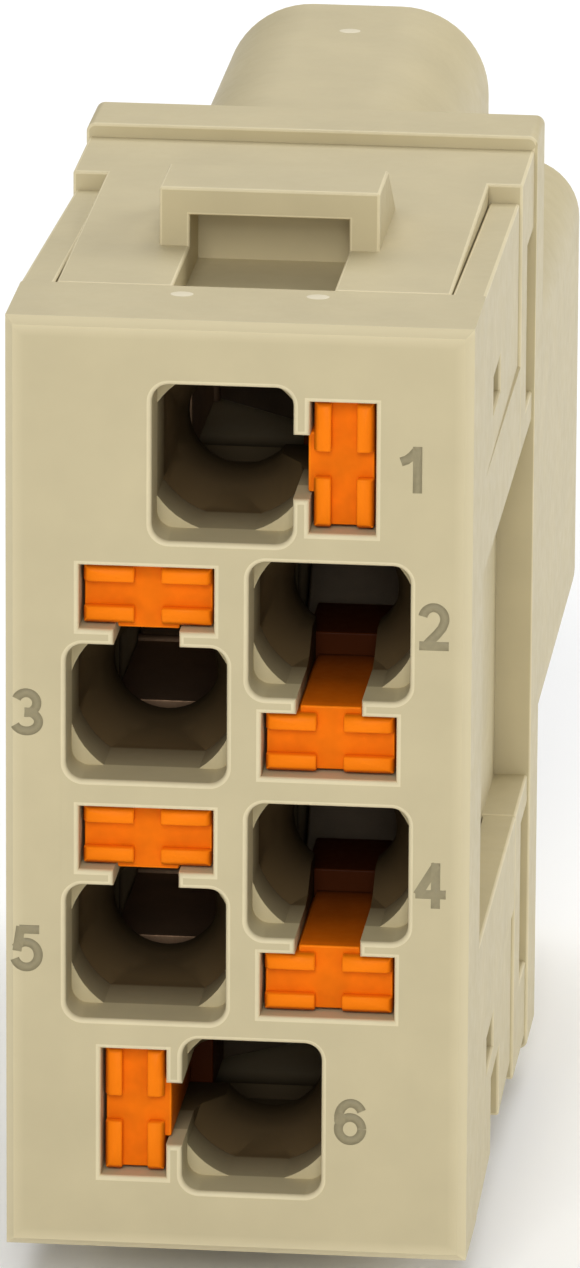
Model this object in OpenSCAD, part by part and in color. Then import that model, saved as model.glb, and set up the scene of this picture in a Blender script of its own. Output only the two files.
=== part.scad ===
// Six-pole push-in contact module: a moulded terminal cap latched on a contact carrier.
// Origin at the centre of the terminal face. X across, Y into the part, Z up. Millimetres.

/* [Wire entries] */
// Size of a wire entry along its pole, towards the pusher
entry_u = 4.41; // [4.0:0.05:5.0]
// Size of a wire entry across its pole
entry_v = 5.05; // [4.6:0.05:5.6]
// Corner radius of a wire entry
entry_corner_r = 0.55; // [0.2:0.05:1.0]
// Depth of the square mouth of a wire entry
mouth_depth = 1.6; // [0.8:0.1:2.4]
// Radius of the round throat behind the square mouth
throat_r = 2.67; // [2.4:0.01:2.9]
// Depth at which the throat starts to narrow
throat_depth = 3.5; // [2.8:0.1:4.4]
// Length of the funnel that narrows the throat to the wire guide
cone_length = 1.6; // [0.8:0.1:2.0]
// Width of the round edge between the funnel's flats and the wire guide
funnel_edge = 0.1; // [0.05:0.05:0.3]
// Radius of the wire guide
guide_r = 1.7; // [1.4:0.05:1.9]
// Length of the wire guide
guide_length = 1.1; // [0.6:0.1:2.0]

/* [Pole layout] */
// Wall between a wire entry and its pusher slot
web = 0.51; // [0.4:0.05:1.2]
// Wall between the two columns of wire entries
mid_wall = 0.68; // [0.6:0.02:1.6]
// Wall between two poles of one column
row_wall = 0.895; // [0.8:0.05:1.6]
// Wall between a column and the end pole
end_wall = 0.575; // [0.5:0.025:1.2]
// Distance by which each column is moved towards its own end
column_shift = 0.1475; // [0:0.01:0.4]
// Distance by which each end pole is moved towards its own side
end_shift = 0.785; // [0.3:0.05:1.2]

/* [Front cap] */
// Thickness of the cap's plate at the rim
cap_t = 4.2; // [3.6:0.1:5.0]
// Chamfer on the front edges of the cap
cap_edge = 0.25; // [0.1:0.05:0.4]
// Thickness of the cap's side arms
arm_t = 1.05; // [0.8:0.05:1.6]
// Length of the side arms behind the plate
arm_length = 13.5; // [11:0.1:15]
// Draft of the arms' outer face over their length
arm_draft = 0.1; // [0:0.05:0.3]
// Height of the flush lower band of each arm
arm_band = 3.1; // [2:0.1:4]
// Drop of the arms' outer edge at their rear end
arm_drop = 0.6; // [0.2:0.05:1.0]
// Height of the open recess between the upper and the lower arms
recess_h = 12.2; // [10:0.1:14]
// Side wall of the carrier beside the wire entries
core_wall = 0.81; // [0.7:0.05:1.5]
// Rim of the face above the end poles' entries
face_rim = 2.04; // [1.9:0.05:3]
// Wall of the plug above the end poles' entries
plug_rim = 0.25; // [0.2:0.05:0.3]
// Wall of the plug beside the columns' entries
plug_side = 0.27; // [0.2:0.01:0.3]
// Clearance between the cap and the carrier
seam = 0.05; // [0.03:0.01:0.1]

/* [Latch window] */
// Distance of the latch window behind the plate
latch_y = 3.4; // [2:0.1:4]
// Length of the latch window
latch_length = 2.9; // [2:0.1:4]
// Height of the latch window
latch_h = 1.2; // [1:0.1:2.5]
// Height of the latch window's centre above the recess edge
latch_rise = 4.9; // [4:0.1:6.4]
// Distance of the notch in a lower arm's edge behind the plate
notch_y = 5.4; // [4:0.1:8]
// Length of that notch
notch_length = 3.4; // [1:0.1:4]
// Height of that notch
notch_h = 2.8; // [1:0.1:3]
// Clearance of the latch nub in its window
latch_gap = 0.15; // [0.1:0.05:0.3]
// Height of the latch nub over the carrier's side
latch_nub = 0.7; // [0.4:0.05:0.75]

/* [Carrier] */
// Length of the ribs that the arms butt on
rib_length = 2.1; // [1.5:0.1:3]
// Length of the groove between the ribs and the flange
groove_length = 2.35; // [1.5:0.1:3]
// Depth of that groove
groove_depth = 0.45; // [0.2:0.05:0.8]
// Height of that groove
groove_h = 5.5; // [4:0.1:7]
// Height of the groove's inner end above the recess edge
groove_rise = 1.0; // [0.2:0.1:1.6]
// Thickness of the flange
flange_t = 2.9; // [2:0.1:4]
// Height of the flange over the plateau
flange_step = 0.45; // [0.2:0.05:0.8]
// Width of the flange over the sides
flange_side = 0.1; // [0:0.05:0.3]
// Corner radius of the flange
flange_r = 0.3; // [0.2:0.05:1]

/* [Latching lug] */
// Width of the lug
lug_w = 7.0; // [6:0.1:8]
// Height of the lug over the plateau
lug_h = 1.9; // [1.5:0.1:2.4]
// Length of the lug's level top
lug_length = 2.85; // [2.4:0.05:4]
// Length of the ramp behind the level top
lug_ramp = 2.6; // [1.5:0.1:4]
// Distance from the cap's seam to the front of the lug
lug_y = 4.8; // [3.5:0.1:6]
// Width of the lug's window
window_w = 5.06; // [4:0.05:5.6]
// Height of the window over the plateau
window_h = 1.0; // [0.7:0.05:1.2]
// Depth of the pocket under the window
pocket_depth = 1.05; // [0.6:0.05:1.2]
// Wall behind the pocket, inside the lug
pocket_wall = 0.4; // [0.3:0.05:0.8]

/* [Mating block] */
// Length of the mating block behind the flange
block_length = 15.3; // [13:0.1:20]
// Width of the end lobes
lobe_w = 9.0; // [8:0.1:9.4]
// Distance by which each end lobe is moved towards its own side
lobe_shift = 0.25; // [0:0.05:0.4]
// Radius of the end lobes' corners
lobe_r = 3.0; // [1:0.1:3.6]
// Distance of the end lobes' top under the flange's edge
lobe_drop = 0.3; // [0.1:0.1:0.8]
// Height of the full-width part on each side
shoulder_h = 16.5; // [15:0.1:17.5]
// Distance by which each side's full-width part is moved towards its own end
shoulder_shift = 1.95; // [1:0.05:2.4]
// Radius of the shoulders' corners
shoulder_r = 2.0; // [0.6:0.1:2.4]
// Thickness of the wall that the pin holes pass through
pin_wall = 1.2; // [0.9:0.1:2]
// Clearance of the mating pins in the pin holes
pin_gap = 0.2; // [0.1:0.05:0.4]

/* [Pushers] */
// Width of a pusher slot along its pole
slot_u = 2.07; // [1.8:0.05:2.6]
// Width of a pusher slot across its pole
slot_v = 4.23; // [3.8:0.05:4.4]
// Width of the channel between a wire entry and its pusher slot
channel_v = 2.06; // [1.4:0.05:2.3]
// Running clearance of the pushers in their slots
pusher_gap = 0.1; // [0.04:0.01:0.12]
// Distance of the pusher's front behind the face
pusher_setback = 0.4; // [0.1:0.05:0.8]
// Chamfer round the pusher's front
pusher_edge = 0.15; // [0.05:0.05:0.25]
// Width of the pusher's long front slot
cross_long = 0.8; // [0.5:0.05:1.1]
// Width of the pusher's short front slot
cross_short = 0.85; // [0.5:0.05:1.2]
// Depth of the pusher's front slots
cross_depth = 0.35; // [0.2:0.05:0.6]
// Thickness of the pusher's retaining ears
ear_t = 1.0; // [0.7:0.1:1.4]
// Reach of the retaining ears past the slot
ear_reach = 0.13; // [0.1:0.01:0.16]
// Gap between the ears and their stops
ear_gap = 0.1; // [0.05:0.05:0.2]
// Travel of the pusher
travel = 1.2; // [0.8:0.1:1.5]
// Height of the rib that runs in the channel
rib_u = 0.2; // [0.1:0.05:0.5]
// Running clearance of that rib in the channel
rib_gap = 0.06; // [0.04:0.01:0.1]
// Setback of the rib's front behind the pusher's front
rib_setback = 0.35; // [0.2:0.05:1]
// Width of the pusher's foot across its pole
foot_v = 2.6; // [2:0.1:3.4]
// Gap between the pusher's foot and a wire in its guide
foot_gap = 0.2; // [0.1:0.05:0.4]
// Radius of the nose that pushes the spring
nose_r = 0.5; // [0.4:0.05:0.65]

/* [Spring, bar and contact] */
// Clearance of the inner pieces in their chamber
chamber_gap = 0.05; // [0.03:0.01:0.1]
// Free width past the ears in the chamber, each side
chamber_side = 0.1; // [0.06:0.02:0.2]
// Depth of the chamber behind the cap's plug
chamber_depth = 10.75; // [10:0.05:13]
// Thickness of the spring strip
spring_t = 0.35; // [0.25:0.05:0.45]
// Width of the spring strip
spring_v = 3.4; // [2.6:0.1:3.6]
// Radius of the spring's bend at mid thickness
bend_r = 0.7; // [0.5:0.05:0.8]
// Distance of the spring's bend behind the ledge that stops the ears
bend_y = 1.5; // [1.4:0.05:2.4]
// Gap between the spring's tip and the current bar
tip_gap = 0.15; // [0.1:0.05:0.4]
// Depth of the spring's tip in front of the chamber's end
tip_y = 2.7; // [2.2:0.1:3.4]
// Gap between the pusher's nose and the spring
nose_gap = 0.1; // [0.05:0.05:0.2]
// Thickness of the current bar
bar_t = 0.45; // [0.3:0.05:0.5]
// Width of the current bar
bar_v = 3.6; // [2.8:0.1:3.8]
// Distance of the current bar's front end behind the plug
bar_setback = 0.8; // [0.4:0.1:2]
// Thickness of the bar's rear web
web_t = 0.7; // [0.5:0.05:1]
// Length of the tab that holds the spring
tab_length = 2.0; // [1:0.1:2.6]
// Thickness of that tab
tab_t = 0.5; // [0.4:0.05:0.7]
// Radius of the raised clamping edge on the bar
edge_r = 0.2; // [0.1:0.05:0.3]
// Radius of the contact's rivet
rivet_r = 0.8; // [0.6:0.05:0.9]
// Radius of the rivet's head
rivet_head_r = 1.15; // [1:0.05:1.3]
// Height of the rivet's head
rivet_head_t = 0.35; // [0.2:0.05:0.6]
// Clearance of the rivet in the web
rivet_gap = 0.03; // [0.02:0.01:0.06]
// Radius of the contact's collar
collar_r = 2.0; // [1.9:0.05:2.2]
// Length of the contact's collar
collar_t = 1.2; // [0.8:0.1:2]
// Radius of the contact's barrel
barrel_r = 1.7; // [1.6:0.05:1.8]
// Clearance of the contact in its cavity
cavity_gap = 0.1; // [0.05:0.05:0.2]
// Radius of the mating pin's bore
socket_r = 1.25; // [1.0:0.05:1.3]
// Depth of the mating pin's bore
socket_depth = 9.0; // [7:0.5:12]
// Chamfer that leads the mating pin into its bore
socket_lead = 0.2; // [0.1:0.05:0.3]
// Width of the slits in the contact's mouth
slit_w = 0.3; // [0.2:0.05:0.4]
// Length of those slits
slit_length = 6.0; // [4:0.5:8]

/* [Hidden] */
$fn = 48;
eps = 0.01;
over = 1;
pole_count = 6;

// Pattern of the poles
pole_u = entry_u + web + slot_u;
column_x = (mid_wall + entry_v) / 2;
column_h = 2 * pole_u + row_wall;
column_top = column_shift + column_h / 2;
upper_z = column_top - entry_u / 2;
lower_z = upper_z - pole_u - row_wall;
end_z = column_top + end_wall + entry_v / 2;
end_x = end_shift - pole_u / 2 + entry_u / 2;
slot_at = entry_u / 2 + web + slot_u / 2;

// Each pole: place of its wire entry, and the turn about Y that takes +X to its pusher
POLES = [
    [end_x, end_z, 0],
    [column_x, upper_z, 90],
    [-column_x, -lower_z, -90],
    [column_x, lower_z, 90],
    [-column_x, -upper_z, -90],
    [-end_x, -end_z, 180],
];
// Place of each mating contact along its pole: the end poles' contacts lie on the centre line
CONTACT_U = [-end_x, 0, 0, 0, 0, -end_x];

// Outer sizes
core_half = mid_wall / 2 + entry_v + core_wall;
half_w = core_half + seam + arm_t;
half_h = end_z + entry_v / 2 + face_rim;
plug_half_w = mid_wall / 2 + entry_v + plug_side;
plug_half_h = end_z + entry_v / 2 + plug_rim;
recess_z = recess_h / 2;
latch_z = recess_z + latch_rise;

// Stations along Y
plug_y = throat_depth + cone_length + guide_length;
chamber_y = plug_y + seam;
chamber_end = chamber_y + chamber_depth;
arm_end = cap_t + arm_length;
rib_y = arm_end + seam;
groove_y = rib_y + rib_length;
flange_y = groove_y + groove_length;
flange_end = flange_y + flange_t;
block_end = flange_end + block_length;
lug_front = cap_t + lug_y;
lug_rear = lug_front + lug_length;
collar_end = chamber_end + collar_t;
barrel_end = block_end - pin_wall - cavity_gap;

// Pusher
pusher_u = slot_u - 2 * pusher_gap;
pusher_v = slot_v - 2 * pusher_gap;
ear_v = slot_v + 2 * ear_reach;
ear_y = plug_y + ear_gap;
ear_end = ear_y + ear_t;
ledge_y = ear_end + travel + ear_gap;
pusher_low = slot_at - pusher_u / 2;
pusher_high = slot_at + pusher_u / 2;
rib_low = pusher_low - rib_u;
rib_v = channel_v - 2 * rib_gap;

// Chamber of one pole
chamber_low = -entry_u / 2;
chamber_high = slot_at + slot_u / 2;
chamber_v = ear_v + 2 * chamber_side;
inner_v = max(spring_v, bar_v) + 2 * chamber_gap;

// Current bar
bar_low = chamber_low + chamber_gap;
bar_face = bar_low + bar_t;
web_rear = chamber_end - chamber_gap;
web_front = web_rear - web_t;

// Clamp spring: centre of its bend, its tip, and the place where the clamping leg leaves the bend
leg_u = chamber_high - chamber_gap - spring_t / 2;
bend_at = [leg_u - bend_r, ledge_y + bend_y];
tip_at = [bar_face + tip_gap + spring_t / 2, web_front - tip_y];
tip_to_bend = bend_at - tip_at;
bend_distance = norm(tip_to_bend);
leave_angle = atan2(-tip_to_bend[1], -tip_to_bend[0]) + acos(bend_r / bend_distance);
leave_at = bend_at + bend_r * [cos(leave_angle), sin(leave_angle)];
leg_direction = (tip_at - leave_at) / norm(tip_at - leave_at);
tab_high = leg_u - spring_t / 2 - chamber_gap;

// Nose of the pusher's foot: its distance to the clamping leg is the nose gap
foot_low = guide_r + foot_gap;
nose_u = foot_low + nose_r;
leg_y_at_nose = leave_at[1] + (nose_u - leave_at[0]) * leg_direction[1] / leg_direction[0];
nose_y = leg_y_at_nose - (nose_r + nose_gap + spring_t / 2) / abs(leg_direction[0]);

BEIGE = [0.80, 0.76, 0.62];
ORANGE = [0.98, 0.45, 0.07];
STEEL = [0.72, 0.73, 0.75];
COPPER = [0.78, 0.55, 0.38];
BRASS = [0.83, 0.72, 0.45];

// Draws an X-Z outline as a prism between two stations along Y
module along_y(from, to) {
    translate([0, from, 0])
        rotate([-90, 0, 0])
            linear_extrude(to - from)
                mirror([0, 1])
                    children();
}

// Draws a Y-Z outline as a prism of the given width, centred on X
module across_x(width) {
    rotate([90, 0, 90])
        translate([0, 0, -width / 2])
            linear_extrude(width)
                children();
}

// Draws an X-Y outline as a prism of the given height, centred on Z
module across_z(height) {
    translate([0, 0, -height / 2])
        linear_extrude(height)
            children();
}

module rod_y(from, to, r) {
    translate([0, from, 0])
        rotate([-90, 0, 0])
            cylinder(h = to - from, r = r);
}

module cone_y(from, to, r_from, r_to) {
    translate([0, from, 0])
        rotate([-90, 0, 0])
            cylinder(h = to - from, r1 = r_from, r2 = r_to);
}

// Box from its lowest to its highest corner
module block(low, high) {
    translate(low)
        cube(high - low);
}

module rounded_rect(w, h, r) {
    square([w - 2 * r, h], center = true);
    square([w, h - 2 * r], center = true);
    for (x = [-1, 1], z = [-1, 1])
        translate([x * (w / 2 - r), z * (h / 2 - r)])
            circle(r);
}

// Puts a shape drawn in a pole's own frame in its place
module at_pole(pole) {
    place = POLES[pole - 1];
    translate([place[0], 0, place[1]])
        rotate([0, place[2], 0])
            children();
}

// The opposite end is the same shape turned half round about Y
module both_ends() {
    children();
    rotate([0, 180, 0])
        children();
}

module both_sides() {
    children();
    mirror([1, 0, 0])
        children();
}

module four_corners() {
    both_sides() {
        children();
        mirror([0, 0, 1])
            children();
    }
}

// Front cap

module cap_plate() {
    w = half_w;
    h = half_h;
    c = cap_edge;
    intersection() {
        across_z(2 * h)
            polygon([[-w + c, 0], [w - c, 0], [w, c], [w, cap_t], [-w, cap_t], [-w, c]]);
        across_x(2 * w)
            polygon([[0, -h + c], [0, h - c], [c, h], [cap_t, h], [cap_t, -h], [c, -h]]);
    }
}

module cap_plug() {
    block([-plug_half_w, cap_t - over, -plug_half_h], [plug_half_w, plug_y, plug_half_h]);
}

// Upper right arm: a flush lower band, and a drafted upper part whose top falls away to the rear
module cap_arm() {
    inner = half_w - arm_t;
    band_top = recess_z + arm_band;
    block([inner, cap_t - over, recess_z], [half_w, arm_end, band_top]);
    intersection() {
        across_z(2 * half_h)
            polygon([
                [inner, cap_t - over], [half_w, cap_t - over], [half_w, cap_t],
                [half_w - arm_draft, arm_end], [inner, arm_end],
            ]);
        across_x(2 * half_w)
            polygon([
                [cap_t - over, recess_z], [arm_end, recess_z],
                [arm_end, half_h - arm_drop], [cap_t, half_h], [cap_t - over, half_h],
            ]);
    }
}

module latch_window() {
    y = cap_t + latch_y;
    block(
        [half_w - arm_t - over, y, latch_z - latch_h / 2],
        [half_w + over, y + latch_length, latch_z + latch_h / 2]
    );
}

// Notch in the outer edge of a lower arm
module arm_notch() {
    y = cap_t + notch_y;
    block(
        [half_w - arm_t - over, y, -half_h - over],
        [half_w + over, y + notch_length, notch_h - half_h]
    );
}

module entry_outline() {
    rounded_rect(entry_u, entry_v, entry_corner_r);
}

// Wire entry: square mouth, round throat with flats, funnel and wire guide
module wire_entry() {
    u = entry_u / 2;
    v = entry_v / 2;
    last = throat_depth + cone_length;
    near = guide_r + funnel_edge;
    along_y(-over, mouth_depth)
        entry_outline();
    intersection() {
        union() {
            rod_y(mouth_depth - eps, throat_depth, throat_r);
            cone_y(throat_depth - eps, last, throat_r, guide_r);
        }
        across_z(entry_v + over)
            polygon([
                [-u, 0], [u, 0], [u, throat_depth], [near, last], [-near, last], [-u, throat_depth],
            ]);
        across_x(entry_u + over)
            polygon([
                [0, -v], [0, v], [throat_depth, v], [last, near], [last, -near], [throat_depth, -v],
            ]);
    }
    rod_y(throat_depth, plug_y + over, guide_r);
}

module pusher_slot() {
    block([slot_at - slot_u / 2, -over, -slot_v / 2], [slot_at + slot_u / 2, plug_y + over, slot_v / 2]);
    block([0, -over, -channel_v / 2], [slot_at, plug_y + over, channel_v / 2]);
}

module front_cap() {
    color(BEIGE)
        difference() {
            union() {
                cap_plate();
                cap_plug();
                four_corners()
                    cap_arm();
            }
            for (pole = [1:pole_count])
                at_pole(pole) {
                    wire_entry();
                    pusher_slot();
                }
            four_corners()
                latch_window();
            both_sides()
                arm_notch();
        }
}

// Contact carrier

module carrier_body() {
    y = cap_t + seam;
    block([-core_half, y, -half_h], [core_half, flange_y + eps, half_h]);
    four_corners()
        block([0, rib_y, recess_z], [half_w, flange_y + eps, half_h]);
}

module latch_nubs() {
    y = cap_t + latch_y + latch_gap;
    far = y + latch_length - 2 * latch_gap;
    tall = latch_h - 2 * latch_gap;
    four_corners()
        translate([0, 0, latch_z])
            across_z(tall)
                polygon([
                    [core_half - over, y], [core_half, y],
                    [core_half + latch_nub, far], [core_half - over, far],
                ]);
}

module side_grooves() {
    low = recess_z + groove_rise;
    four_corners()
        block([half_w - groove_depth, groove_y, low], [half_w + over, flange_y, low + groove_h]);
}

module flange() {
    along_y(flange_y, flange_end)
        rounded_rect(2 * (half_w + flange_side), 2 * (half_h + flange_step), flange_r);
}

module lug() {
    top = half_h + lug_h;
    across_x(lug_w)
        polygon([
            [lug_front, half_h - over], [lug_front, top], [lug_rear, top],
            [lug_rear + lug_ramp, half_h], [lug_rear + lug_ramp, half_h - over],
        ]);
}

module lug_pocket() {
    block(
        [-window_w / 2, cap_t, half_h - pocket_depth],
        [window_w / 2, lug_rear - pocket_wall, half_h + window_h]
    );
}

module block_outline() {
    side_w = half_w + flange_side;
    lobe_top = half_h + flange_step - lobe_drop;
    for (side = [-1, 1]) {
        translate([-side * lobe_shift, side * (lobe_top - lobe_r) / 2])
            rounded_rect(lobe_w, lobe_top + lobe_r, lobe_r);
        translate([side * (side_w - shoulder_r) / 2, side * shoulder_shift])
            rounded_rect(side_w + shoulder_r, shoulder_h, shoulder_r);
    }
}

module mating_block() {
    along_y(flange_end - eps, block_end)
        block_outline();
}

// Chamber of one pole: wide where the pusher's ears run, narrower for the spring and the bar
module chamber() {
    block([chamber_low, chamber_y - over, -chamber_v / 2], [chamber_high, ledge_y, chamber_v / 2]);
    block([chamber_low, chamber_y, -inner_v / 2], [chamber_high, chamber_end, inner_v / 2]);
}

module contact_cavity() {
    rod_y(chamber_end - over, collar_end, collar_r + cavity_gap);
    rod_y(collar_end - eps, block_end - pin_wall, barrel_r + cavity_gap);
    rod_y(block_end - pin_wall - eps, block_end + over, socket_r + pin_gap);
}

module contact_carrier() {
    color(BEIGE)
        difference() {
            union() {
                difference() {
                    carrier_body();
                    side_grooves();
                }
                latch_nubs();
                flange();
                mating_block();
                both_ends()
                    lug();
            }
            both_ends()
                lug_pocket();
            block(
                [-plug_half_w - seam, 0, -plug_half_h - seam],
                [plug_half_w + seam, chamber_y, plug_half_h + seam]
            );
            for (pole = [1:pole_count])
                at_pole(pole) {
                    chamber();
                    translate([CONTACT_U[pole - 1], 0, 0])
                        contact_cavity();
                }
        }
}

// Pusher: guided head with a cross on its front, retaining ears, channel rib, foot and nose

// Head with a chamfer round its front
module pusher_head() {
    front = pusher_setback;
    shoulder = front + pusher_edge;
    v = pusher_v / 2;
    intersection() {
        across_z(pusher_v)
            polygon([
                [pusher_low, ear_end], [pusher_low, shoulder], [pusher_low + pusher_edge, front],
                [pusher_high - pusher_edge, front], [pusher_high, shoulder], [pusher_high, ear_end],
            ]);
        translate([slot_at, 0, 0])
            across_x(pusher_u)
                polygon([
                    [ear_end, -v], [shoulder, -v], [front, -v + pusher_edge],
                    [front, v - pusher_edge], [shoulder, v], [ear_end, v],
                ]);
    }
}

module pusher_cross() {
    front = pusher_setback;
    block(
        [slot_at - cross_long / 2, front - over, -slot_v],
        [slot_at + cross_long / 2, front + cross_depth, slot_v]
    );
    block(
        [pusher_low - over, front - over, -cross_short / 2],
        [pusher_high + over, front + cross_depth, cross_short / 2]
    );
}

module pusher_foot() {
    block([foot_low, ear_y, -foot_v / 2], [pusher_low + eps, ear_end, foot_v / 2]);
    block([foot_low, ear_y, -foot_v / 2], [foot_low + 2 * nose_r, nose_y, foot_v / 2]);
    translate([nose_u, nose_y, -foot_v / 2])
        cylinder(h = foot_v, r = nose_r);
}

module pusher(pole) {
    color(ORANGE)
        at_pole(pole) {
            difference() {
                pusher_head();
                pusher_cross();
            }
            block([pusher_low, ear_y, -ear_v / 2], [pusher_high, ear_end, ear_v / 2]);
            block(
                [rib_low, pusher_setback + rib_setback, -rib_v / 2],
                [pusher_low + eps, ear_end, rib_v / 2]
            );
            pusher_foot();
        }
}

// Clamp spring: a strip with a fixed leg, a round bend and an oblique clamping leg

module strip(from, to, t) {
    along = (to - from) / norm(to - from);
    side = t / 2 * [-along[1], along[0]];
    polygon([from + side, to + side, to - side, from - side]);
}

module spring_bend() {
    translate(bend_at)
        intersection() {
            difference() {
                circle(bend_r + spring_t / 2);
                circle(bend_r - spring_t / 2);
            }
            bend_sector();
        }
}

// Sector from the fixed leg, through the front, to where the clamping leg leaves
module bend_sector() {
    far = 3 * bend_r;
    polygon([
        [0, 0], [far, 0], [far, -far], [-far, -far],
        far * [cos(leave_angle), sin(leave_angle)],
    ]);
}

module clamp_spring(pole) {
    color(STEEL)
        at_pole(pole) {
            across_z(spring_v)
                strip([leg_u, bend_at[1] - eps], [leg_u, web_front - chamber_gap], spring_t);
            across_z(spring_v)
                strip(leave_at - eps * leg_direction, tip_at, spring_t);
            across_z(spring_v)
                spring_bend();
        }
}

// Current bar: clamping strip with a raised edge, rear web with the rivet hole, and the spring's tab

module bar_profile() {
    front = chamber_y + bar_setback;
    polygon([
        [bar_low, front], [bar_face, front], [bar_face, web_front],
        [tab_high - tab_t, web_front], [tab_high - tab_t, web_front - tab_length],
        [tab_high, web_front - tab_length], [tab_high, web_front],
        [leg_u + spring_t / 2, web_front], [leg_u + spring_t / 2, web_rear], [bar_low, web_rear],
    ]);
    translate([bar_face, tip_at[1]])
        circle(edge_r);
}

module current_bar(pole) {
    color(COPPER)
        at_pole(pole)
            difference() {
                across_z(bar_v)
                    bar_profile();
                translate([CONTACT_U[pole - 1], 0, 0])
                    rod_y(web_front - over, web_rear + over, rivet_r + rivet_gap);
            }
}

// Socket contact: riveted end, collar, barrel with a slit bore for the mating pin

module contact_slits() {
    for (turn = [0, 90])
        rotate([0, turn, 0])
            block(
                [-slit_w / 2, barrel_end - slit_length, -2 * barrel_r],
                [slit_w / 2, barrel_end + over, 2 * barrel_r]
            );
}

module socket_contact(pole) {
    color(BRASS)
        at_pole(pole)
            translate([CONTACT_U[pole - 1], 0, 0])
                difference() {
                    union() {
                        rod_y(web_front - rivet_gap - rivet_head_t, web_front - rivet_gap, rivet_head_r);
                        rod_y(web_front - rivet_gap - eps, chamber_end, rivet_r);
                        rod_y(web_rear + rivet_gap, collar_end, collar_r);
                        rod_y(collar_end - eps, barrel_end, barrel_r);
                    }
                    rod_y(barrel_end - socket_depth, barrel_end + over, socket_r);
                    cone_y(barrel_end - socket_lead, barrel_end + eps, socket_r, socket_r + socket_lead);
                    contact_slits();
                }
}

front_cap();
contact_carrier();
for (pole = [1:pole_count]) {
    pusher(pole);
    clamp_spring(pole);
    current_bar(pole);
    socket_contact(pole);
}
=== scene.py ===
"""Looks of a push-in contact module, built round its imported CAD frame."""

import math

import bmesh
import bpy
from bpy.props import FloatProperty, FloatVectorProperty, PointerProperty
from bpy.types import Operator, Panel, PropertyGroup
from mathutils import Matrix, Vector


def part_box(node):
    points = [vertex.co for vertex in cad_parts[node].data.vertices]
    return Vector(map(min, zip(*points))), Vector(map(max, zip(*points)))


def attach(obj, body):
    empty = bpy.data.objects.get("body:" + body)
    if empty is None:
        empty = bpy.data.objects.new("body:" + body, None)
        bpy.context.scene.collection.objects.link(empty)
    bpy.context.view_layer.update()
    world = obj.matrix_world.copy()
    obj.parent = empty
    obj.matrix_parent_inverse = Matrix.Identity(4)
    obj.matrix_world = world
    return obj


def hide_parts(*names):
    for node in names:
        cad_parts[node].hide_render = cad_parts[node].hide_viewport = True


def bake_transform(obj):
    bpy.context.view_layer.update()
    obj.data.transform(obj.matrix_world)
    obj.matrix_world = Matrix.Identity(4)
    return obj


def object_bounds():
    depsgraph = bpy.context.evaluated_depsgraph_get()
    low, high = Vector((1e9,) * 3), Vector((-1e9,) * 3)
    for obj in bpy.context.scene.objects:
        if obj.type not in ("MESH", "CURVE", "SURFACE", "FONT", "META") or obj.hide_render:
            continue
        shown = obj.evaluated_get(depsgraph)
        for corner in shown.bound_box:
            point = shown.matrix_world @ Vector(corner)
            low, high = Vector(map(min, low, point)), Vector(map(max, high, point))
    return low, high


bl_info = {
    "name": "Push-In Contact Module",
    "version": (1, 0, 0),
    "blender": (4, 5, 0),
    "location": "View3D > Sidebar > Contact Module",
    "description": "Moulded housing, pushers, springs, print and studio of a push-in contact module",
    "category": "Add Mesh",
}

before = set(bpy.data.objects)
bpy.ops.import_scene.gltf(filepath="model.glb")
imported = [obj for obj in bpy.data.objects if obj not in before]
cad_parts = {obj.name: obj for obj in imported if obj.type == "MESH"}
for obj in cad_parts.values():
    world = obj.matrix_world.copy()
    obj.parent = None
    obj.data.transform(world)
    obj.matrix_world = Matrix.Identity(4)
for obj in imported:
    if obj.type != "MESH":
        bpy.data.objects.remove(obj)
CAD_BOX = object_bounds()
MM = 0.001


# Sizes and colours


def length(name, description, default):
    """A length in metres, shown in the scene's unit."""
    return FloatProperty(
        name=name, description=description, default=default, min=0, unit="LENGTH", precision=6
    )


def share(name, description, default):
    """A plain factor between 0 and 1."""
    return FloatProperty(
        name=name, description=description, default=default, min=0, max=1, subtype="FACTOR"
    )


def tint(name, description, default):
    """A scene-linear colour."""
    return FloatVectorProperty(
        name=name, description=description, default=default, min=0, max=1, size=3, subtype="COLOR"
    )


def angle(name, description, degrees):
    """An angle, given here in degrees."""
    return FloatProperty(
        name=name, description=description, default=math.radians(degrees), subtype="ANGLE"
    )


def power(name, description, default):
    """The power of a light in watts."""
    return FloatProperty(name=name, description=description, default=default, min=0, unit="POWER")


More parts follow.
